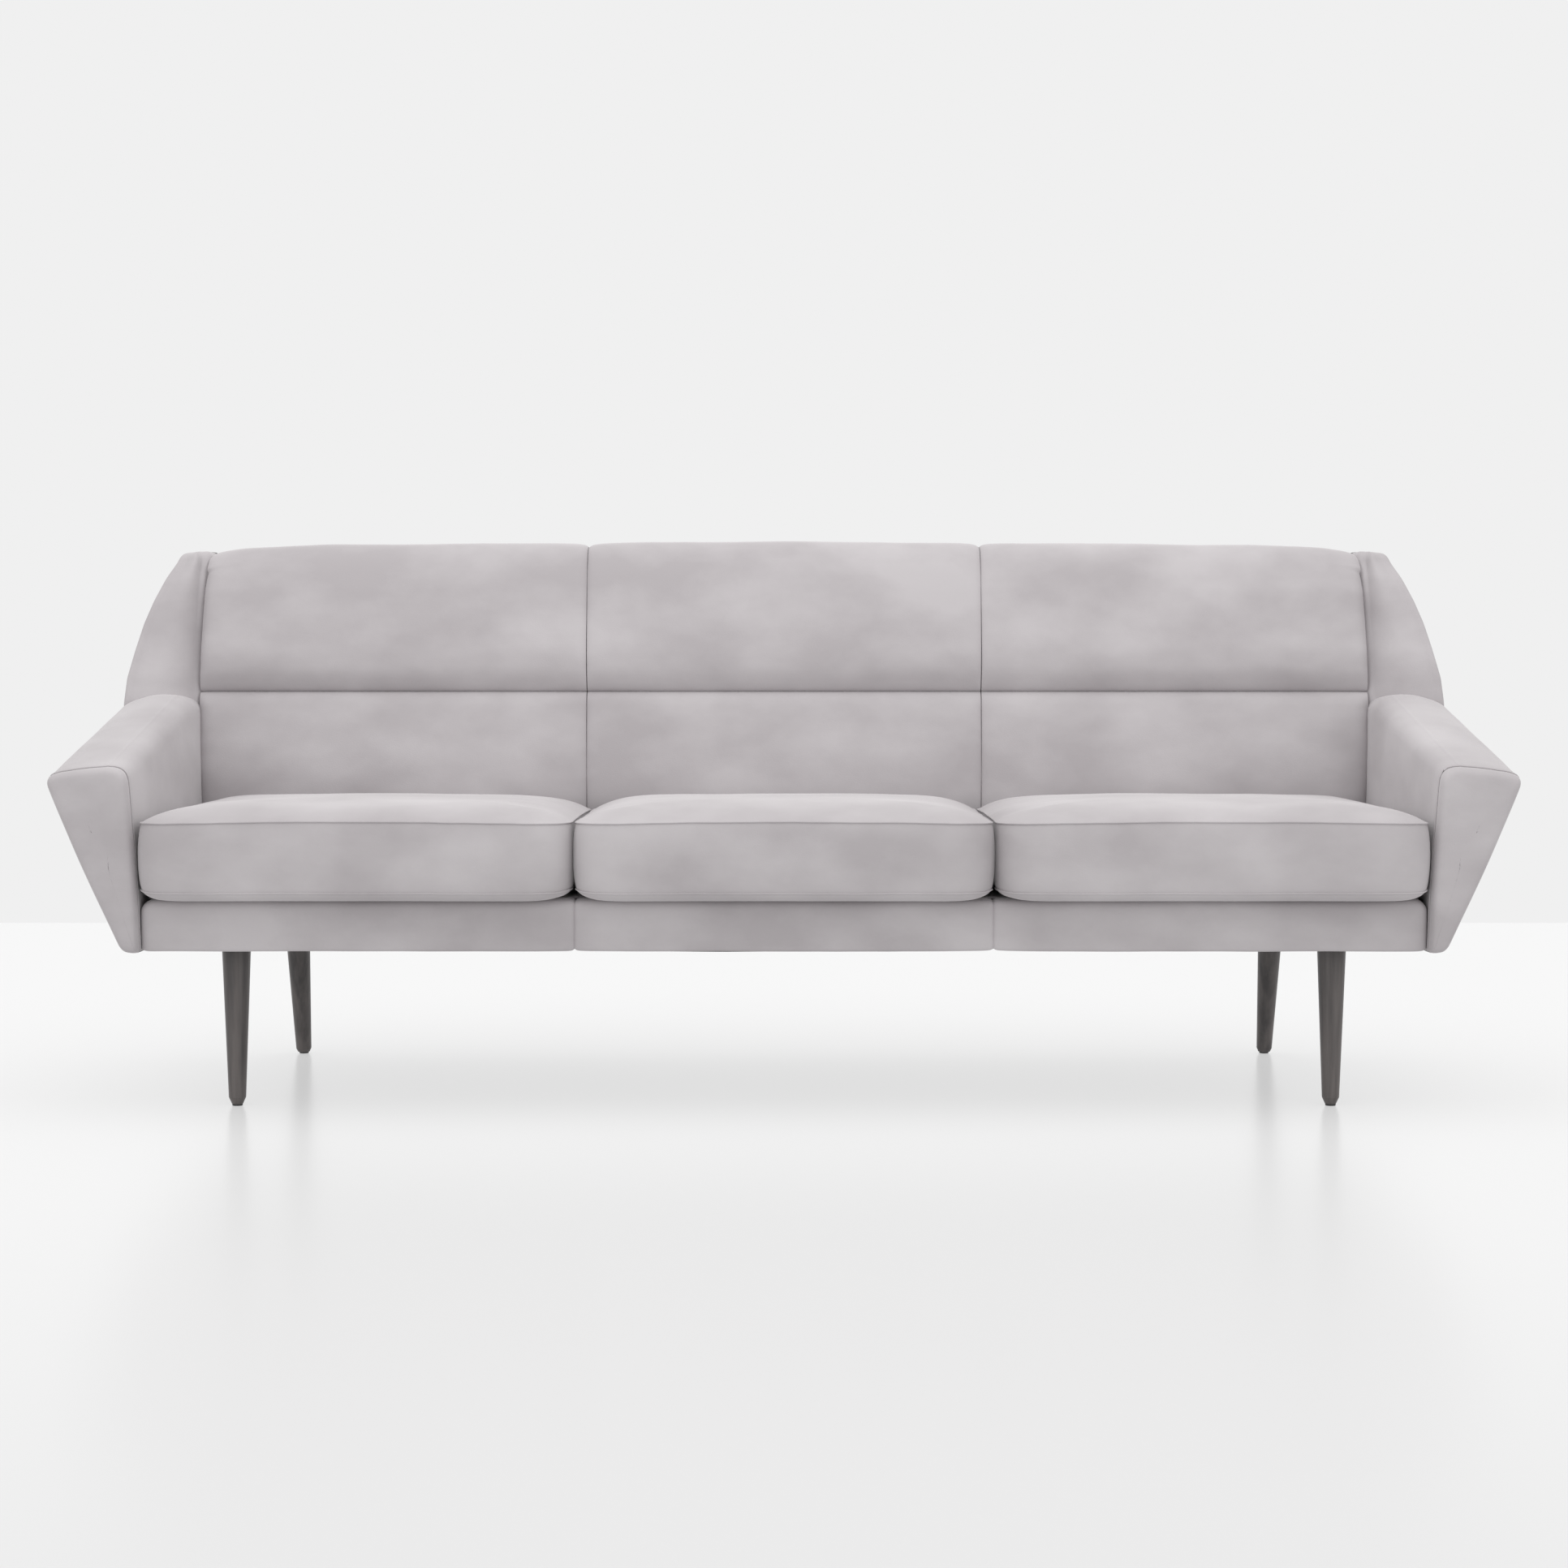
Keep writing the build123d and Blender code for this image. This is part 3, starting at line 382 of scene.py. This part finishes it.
def wing_ring(side, z, shrink=0.0):
    """Ring of the wing's cover at a height."""
    outer_x, outer_y, inner_y, rear_x = wing_row(min(z, WING_TOP_Z))
    outer_x += 5.0
    back = rear_y(z) - 8.3
    points = [(WING_INNER_X, inner_y + 16), (outer_x, outer_y - 1), (rear_x, back),
              (WING_INNER_X, back)]
    ring = section(points, (16, 20, 9, 2), (13.0, 2.5, 0, 0), fill=16)
    ring = inset(ring, shrink)
    out = []
    for x, y in ring:
        x = max(x, WING_INNER_X)
        puff = 0.9 * soft_noise((x, y, z), 60.0, 7.7)
        rise = 5.0 * min(max((z - 825.0) / 35.0, 0.0), 1.0) * (1 - (x - WING_INNER_X) / 50.0)
        out.append((side * x, y + puff, z + rise))
    return out


def build_wing(side, name):
    """Cover of one wing, closed over at its top."""
    zs = list(np.linspace(WING_FOOT_Z, WING_TOP_Z - 2, 42))
    rings = [wing_ring(side, z) for z in zs]
    for z, shrink, share in ((851, 1, 0), (855, 3, 0.02), (858, 5, 0.06), (860, 6, 0.13),
                             (861.5, 6, 0.28), (862.2, 6, 0.6)):
        rings.append(towards_middle(wing_ring(side, z, shrink), share))
    body = loft(f"wing_cover_{name}", rings)
    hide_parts(f"wing_pad_{name}", f"wing_outside_panel_{name}")


for side, name in SIDES:
    build_wing(side, name)


# ------------------------------------------------------------------ back panels, as (y, z) outlines
UPPER = [(212, 624.5), (203, 630), (197, 642), (193, 656), (192.5, 670), (197, 694), (207, 722),
         (222, 760), (240, 803), (259, 841), (277, 865), (298, 878), (322, 882.5), (350, 882),
         (372, 877), (386, 867), (390, 858)]
UPPER_BACK = [(380, 856), (330, 852), (296, 760), (277, 630)]
LOWER = [(142.6, 325), (142.4, 360), (142.4, 400), (144.5, 440), (149.5, 480), (158, 520),
         (169, 560), (179, 592), (187, 611), (196, 622), (208, 627.5)]
LOWER_BACK = [(277, 627), (250, 480), (217, 325)]


def top_line(x):
    """How far the top edge of the back drops towards its ends."""
    return np.interp(abs(x), (0, 335, 782, 920, 975), (0.5, -2, -5.5, -11, -18))


def dense_between(a, b, count=46):
    """Stations from a to b, close together near both ends."""
    near = np.array([0, 0.8, 2, 4, 7, 11, 16, 23, 32, 44])
    mid = np.linspace(a + 58, b - 58, count)
    return np.concatenate([a + near, mid, (b - near)[::-1]])


def panel(name, outline, hidden, x_low, x_high, left_end, right_end, raise_top):
    """Padded panel between two ends, each a sewn seam or a rolled edge by the arm or wing."""
    front = curve_through(outline, 64)
    normal = outward(front)
    last = len(front) - 1
    rings = []
    for share in dense_between(0.0, 1000.0):
        ring = []
        for k, (y, z) in enumerate(front):
            x = x_low(z) + (x_high(z) - x_low(z)) * share / 1000.0
            sink = 0.0
            for end, kind in ((x_low(z), left_end), (x_high(z), right_end)):
                gap = abs(x - end)
                if kind == "seam":
                    sink += 5.5 * math.exp(-(gap / 6.0)) + 3.0 * math.exp(-(gap / 38.0))
                else:
                    top = 0.45 if z > 850 else 1.0
                    sink += top * (12.0 * math.exp(-(gap / 7.0)) + 5.0 * math.exp(-(gap / 32.0)))
            puff = 1.5 * soft_noise((x, y, z), 130.0, 1.3)
            puff += 0.35 * soft_noise((x, y, z), 34.0, 5.0)
            ease = min(1.0, k / 8, (last - k) / 8)
            shift = (puff - sink) * ease
            lift = top_line(x) * min(1.0, max(0.0, (z - 800) / 60)) if raise_top else 0.0
            ring.append((x, y + normal[k][0] * shift, z + normal[k][1] * shift + lift))
        for y, z in hidden:
            x = x_low(z) + (x_high(z) - x_low(z)) * share / 1000.0
            ring.append((x, y, z + (top_line(x) if raise_top and z > 800 else 0.0)))
        rings.append(ring)
    return loft(name, rings)


def seam_x(z):
    """Vertical seam between two back panels."""
    return PANEL_SEAM_X + PANEL_SEAM_SPREAD * (z - 323.0) / 560.0


def arm_face_x(z):
    """End of a lower panel, against the arm."""
    return min(ARM_INNER_X + (z - BASE_Z) * 0.0665 - 1.0, 976.0)


def wing_face_x(z):
    """End of an upper panel, against the wing."""
    return 976.5


for kind, outline, hidden, side_x in (("lower", LOWER, LOWER_BACK, arm_face_x),
                                      ("upper", UPPER, UPPER_BACK, wing_face_x)):
    spans = {"left": (lambda z, e=side_x: -e(z), lambda z: -seam_x(z) - 0.2, "roll", "seam"),
             "middle": (lambda z: -seam_x(z) + 0.2, lambda z: seam_x(z) - 0.2, "seam", "seam"),
             "right": (lambda z: seam_x(z) + 0.2, lambda z, e=side_x: e(z), "seam", "roll")}
    for name, (low, high, left_end, right_end) in spans.items():
        pad = panel(f"back_{kind}_{name}", outline, hidden, low, high, left_end, right_end,
                    kind == "upper")
        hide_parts(f"back_{kind}_pad_{name}")


# ------------------------------------------------------------------ outside back, front border
def build_outside_back():
    """Flat cover of the rear, with its edge seam."""
    half = [(979, 246), (1068, 606), (1064, 650), (1056, 697), (1047, 741), (1036, 779),
            (1022, 818), (1008, 846), (990, 858)]
    points = half + [(-x, z) for x, z in reversed(half)]
    radii = [8, 30, 40, 40, 40, 40, 40, 20, 10]
    outline = section(points, radii + radii[::-1], [0.0] * 18, steps=4, fill=8)
    rings = []
    steps = ((-8, 2.5, 0), (-7, 0.6, 0), (-4, 0, 0), (-1.5, 0.8, 0), (0, 3, 0), (0.9, 6, 0.01),
             (1.4, 6, 0.04), (1.9, 6, 0.12), (2.2, 6, 0.3), (2.2, 6, 0.6), (2.2, 6, 0.9))
    for depth, shrink, share in steps:
        ring = towards_middle(inset(outline, shrink), share)
        rings.append([(x, rear_y(z) + depth, z) for x, z in ring])
    back = loft("outside_back_cover", rings)
    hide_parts("outside_back")
    edge = [(x, rear_y(z) - 0.4, z) for x, z in inset(outline, 6.0)]
    seam_line("outside_back_seam", edge, 0.7, closed=True)


def build_front_border():
    """Padded border under the seat cushions, in three sewn lengths."""
    profile = [(-331, 243), (-337, 242.5), (-341, 244.5), (-343, 251), (-344, 270), (-344.3, 285),
               (-344, 300), (-342.5, 311), (-338, 318), (-330, 320.8), (-318, 321.6), (-307, 321.8)]
    hidden = [(-307, 317), (-329.8, 316.5), (-330.2, 250)]
    front = curve_through(profile, 40)
    normal = outward(front)
    seams = (-BORDER_SEAM_X, BORDER_SEAM_X)
    near = np.array([0, 0.7, 1.6, 3, 5, 8, 13, 20])
    xs = set(np.round(np.linspace(-BORDER_HALF_X, BORDER_HALF_X, 90), 2))
    for s in seams:
        xs |= set(np.round(np.concatenate([s - near, s + near]), 2))
    xs |= set(np.round(np.concatenate([-BORDER_HALF_X + near, BORDER_HALF_X - near]), 2))
    rings = []
    for x in sorted(xs):
        sink = sum(3.2 * math.exp(-abs(x - s) / 2.6) + 1.2 * math.exp(-abs(x - s) / 22.0)
                   for s in seams)
        end = BORDER_HALF_X - abs(x)
        roll = 5.0 * math.exp(-end / 3.5)
        drop = 9.0 * math.exp(-end / 7.0)
        ring = []
        for k, (y, z) in enumerate(front):
            puff = 0.7 * soft_noise((x, y, z), 80.0, 9.2)
            puff += 0.3 * soft_noise((x, y, z), 25.0, 2.2)
            low = drop * max(0.0, (z - 300) / 22.0)
            shift = puff - sink - roll
            ring.append((x, y + normal[k][0] * shift, z + normal[k][1] * shift - low))
        ring += [(x, y, z - drop * max(0.0, (z - 300) / 22.0)) for y, z in hidden]
        rings.append(ring)
    border = loft("front_border_cover", rings)
    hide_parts("front_border")


build_outside_back()
build_front_border()


# ------------------------------------------------------------------ seat cushions
def plan_outline(x0, x1, shrink):
    """Rounded rectangle in (x, y), counter-clockwise, moved in by shrink."""
    front, rear = CUSHION_FRONT_Y + shrink, CUSHION_REAR_Y - shrink
    points = [(x0 + shrink, front), (x1 - shrink, front), (x1 - shrink, rear), (x0 + shrink, rear)]
    front_r, rear_r = max(82 - 0.9 * shrink, 3), max(44 - 0.9 * shrink, 3)
    radii = [front_r, front_r, rear_r, rear_r]
    return section(points, radii, [-2.5 * math.exp(-shrink / 90)] * 4, steps=10, fill=46)


def cushion_ring(x0, x1, shrink, z, pad, seed, puff=0.0):
    """Ring of a seat cushion at a height, with its bow, droop and small unevenness."""
    ring = []
    middle, half = (x0 + x1) / 2, (x1 - x0) / 2
    for x, y in plan_outline(x0, x1, shrink):
        bow = max(0.0, (z - CUSHION_LOW_SEAM_Z) / 100.0) * 4.0 * (1 - ((x - middle) / half) ** 2)
        droop = 3.0 * min(1.0, max(0.0, (-346 - y) / 25.0))
        droop *= min(1.0, max(0.0, (350 - z) / 20.0))
        wave = 0.9 * soft_noise((x, y, 0), 90.0, seed)
        wave += 0.5 * soft_noise((x, y, 0), 30.0, seed + 4)
        lump = 0.0
        if puff:
            broad = 1.6 * soft_noise((x, y, z), 150.0, seed)
            lump = puff * (broad + 0.5 * soft_noise((x, y, z), 45.0, seed))
        ring.append((x, y, z + pad * wave + lump + bow - droop))
    return ring


def build_cushion(x0, x1, name, seed):
    """Crowned cushion cover between two x, with a seam around its foot and its top."""
    body = f"seat_cushion_{name}"
    low, high = CUSHION_LOW_SEAM_Z, CUSHION_TOP_SEAM_Z
    half = (CUSHION_REAR_Y - CUSHION_FRONT_Y) / 2
    rings = []
    for d in (half * 0.985, half * 0.8, half * 0.6, half * 0.4, 70, 45, 30, 20, 13, 8, 5, 3.4):
        z = low - 14.0 * (1 - math.exp(-(d - 2.4) / 9.0))
        z = max(z, CUSHION_LOW_Z)
        rings.append(cushion_ring(x0, x1, d, z, 0.4 * math.exp(-d / 30), seed))
    rings.append(cushion_ring(x0, x1, 3.0, low - 0.8, 0.8, seed))
    for t in (0.01, 0.03, 0.07, 0.14, 0.24, 0.36, 0.5, 0.64, 0.76, 0.86, 0.93, 0.97, 0.99):
        out = 3.0 - 6.0 * math.sin(math.pi * t) ** 0.55
        rings.append(cushion_ring(x0, x1, out + 0.8, low + (high - low) * t, 0.8, seed))
    rings.append(cushion_ring(x0, x1, 3.0, high + 0.8, 0.8, seed))
    for d in (3.4, 5, 8, 13, 20, 30, 44, 62, 85, 112, 142, 175, 205, 235, half * 0.985):
        z = high + CUSHION_CROWN * (1 - math.exp(-(d - 2.4) / 42.0))
        rings.append(cushion_ring(x0, x1, d, z, 0.8 * math.exp(-d / 40), seed, min(1.0, d / 60)))
    cover = loft(f"cushion_{name}", rings, body)
    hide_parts(f"cushion_cover_{name}", f"cushion_core_{name}")
    for z, tag in ((low, "low"), (high, "top")):
        edge = cushion_ring(x0, x1, 2.4, z, 0.8, seed)
        seam_line(f"cushion_seam_{tag}_{name}", edge, 1.25, body, True)


build_cushion(-962.0, -314.4, "left", 11.0)
build_cushion(-313.8, 313.8, "middle", 23.0)
build_cushion(314.4, 962.0, "right", 37.0)


# ------------------------------------------------------------------ base cloth, deck, arm liners
def flat_cloth(name, x0, x1, y0, y1, z, thick, slot, sag, node, holes=(), step=12.0, dip=0.0):
    """Flat cloth stretched over a frame, with a slight sag and round holes over the legs.

    A row that meets a hole keeps the moved y for the rest of its length.
    """
    nx, ny = max(2, round((x1 - x0) / step)), max(2, round((y1 - y0) / step))
    xs, ys = np.linspace(x0, x1, nx + 1), np.linspace(y0, y1, ny + 1)
    verts, faces = [], []
    for y in ys:
        for x in xs:
            for hx, hy in holes:
                gap = math.hypot(x - hx, y - hy)
                if 0 < gap < LEG_HOLE_REACH:
                    pull = max(gap, LEG_HOLE_RIM)
                    x, y = hx + (x - hx) / gap * pull, hy + (y - hy) / gap * pull
            u = (x - x0) / (x1 - x0)
            v = (y - y0) / (y1 - y0)
            bow = 0
            if 0 < u < 1 and 0 < v < 1:
                bow = sag * math.sin(math.pi * u) ** 0.4 * math.sin(math.pi * v) ** 0.5
            bow += dip * math.exp(-(x / 270.0) ** 6) * math.exp(-(y - y0) / 60.0)
            verts.append((x, y, z - bow + 0.25 * soft_noise((x, y, z), 60.0)))
    for j in range(ny):
        for i in range(nx):
            cx, cy = (xs[i] + xs[i + 1]) / 2, (ys[j] + ys[j + 1]) / 2
            if any(math.hypot(cx - hx, cy - hy) < LEG_HOLE_OPEN for hx, hy in holes):
                continue
            a = j * (nx + 1) + i
            faces.append((a, a + 1, a + nx + 2, a + nx + 1))
    obj = make_object(name, verts, faces, "sofa_frame", slot, 0)
    mod = obj.modifiers.new("thickness", "SOLIDIFY")
    mod.thickness = thick * MM
    mod.offset = 0
    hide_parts(node)
    return obj


LEG_HOLES = [(s * x, y) for s in (-1, 1) for x, y in LEG_SPOTS]
dust = flat_cloth("base_cloth", -949, 949, -327, 329, 247.0, 1.2, "black_fabric", 1.5,
                  "dust_cover", LEG_HOLES, dip=5.0)
deck = flat_cloth("deck_cloth", -952.5, 952.5, -305, 216, 320.0, 3.6, "velvet", 1.5, "seat_deck")


def arm_liner(side, name):
    """Narrow black strip under one arm."""
    verts, faces, rows = [], [], 30
    corners = ((961, 242.6), (974, 242.6), (974, 241.4), (961, 241.4))
    for y in np.linspace(-338, 325, rows):
        verts += [(side * x, y, z) for x, z in corners]
    for r in range(rows - 1):
        a, b = r * 4, r * 4 + 4
        faces += [(a + c, a + (c + 1) % 4, b + (c + 1) % 4, b + c) for c in range(4)]
    last = (rows - 1) * 4
    faces += [(0, 1, 2, 3), (last, last + 1, last + 2, last + 3)]
    liner = make_object(f"arm_liner_{name}", verts, faces, "sofa_frame", "black_fabric", 0)
    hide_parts("arm_underliners")


for side, name in SIDES:
    arm_liner(side, name)


# ------------------------------------------------------------------ floor, light, camera
def stage_floor():
    """Large pale floor that glows a little, for a bright studio look."""
    bpy.ops.mesh.primitive_plane_add(size=24, location=(0, -9, 0))
    floor = bpy.context.object
    floor.name = "floor"
    mat = bpy.data.materials.new("floor")
    mat.use_nodes = True
    tree = mat.node_tree
    bsdf = tree.nodes["Principled BSDF"]
    bsdf.inputs["Base Color"].default_value = (0.26, 0.26, 0.26, 1)
    bsdf.inputs["Roughness"].default_value = 0.25
    bsdf.inputs["Specular IOR Level"].default_value = 0.06
    bsdf.inputs["Emission Color"].default_value = (1, 1, 1, 1)
    bsdf.inputs["Emission Strength"].default_value = 0.50
    floor.data.materials.append(mat)


def area_light(name, location, target, size, power):
    """Rectangular lamp aimed at a point."""
    data = bpy.data.lights.new(name, "AREA")
    data.shape = "RECTANGLE"
    data.size, data.size_y = size
    data.energy = power
    lamp = bpy.data.objects.new(name, data)
    lamp.location = location
    lamp.rotation_euler = (Vector(target) - Vector(location)).to_track_quat("-Z", "Y").to_euler()
    bpy.context.scene.collection.objects.link(lamp)


LIGHT_TARGET = (0, 0, 0.4)
CAMERA_AT = (0, -4.648, 0.654)
CAMERA_DOWN = 2.147             # degrees below level
CAMERA_LENS = 66.6
SENSOR_WIDTH = 36.0
BACKGROUND = 0.871

stage_floor()
area_light("overhead", (0, -0.6, 3.4), LIGHT_TARGET, (5.0, 3.0), 54)
area_light("front_left", (-3.2, -4.4, 1.2), LIGHT_TARGET, (2.4, 1.6), 26)
area_light("front_right", (3.2, -4.4, 1.2), LIGHT_TARGET, (2.4, 1.6), 26)

world = bpy.data.worlds.new("studio")
world.use_nodes = True
world.node_tree.nodes["Background"].inputs["Color"].default_value = (1.0, 1.0, 1.0, 1)
world.node_tree.nodes["Background"].inputs["Strength"].default_value = BACKGROUND
bpy.context.scene.world = world

cam_data = bpy.data.cameras.new("camera")
cam_data.sensor_width = SENSOR_WIDTH
cam_data.lens = CAMERA_LENS
camera = bpy.data.objects.new("camera", cam_data)
camera.location = CAMERA_AT
camera.rotation_euler = (math.radians(90 - CAMERA_DOWN), 0, 0)
bpy.context.scene.collection.objects.link(camera)
bpy.context.scene.camera = camera
bpy.context.scene.view_settings.view_transform = "Standard"
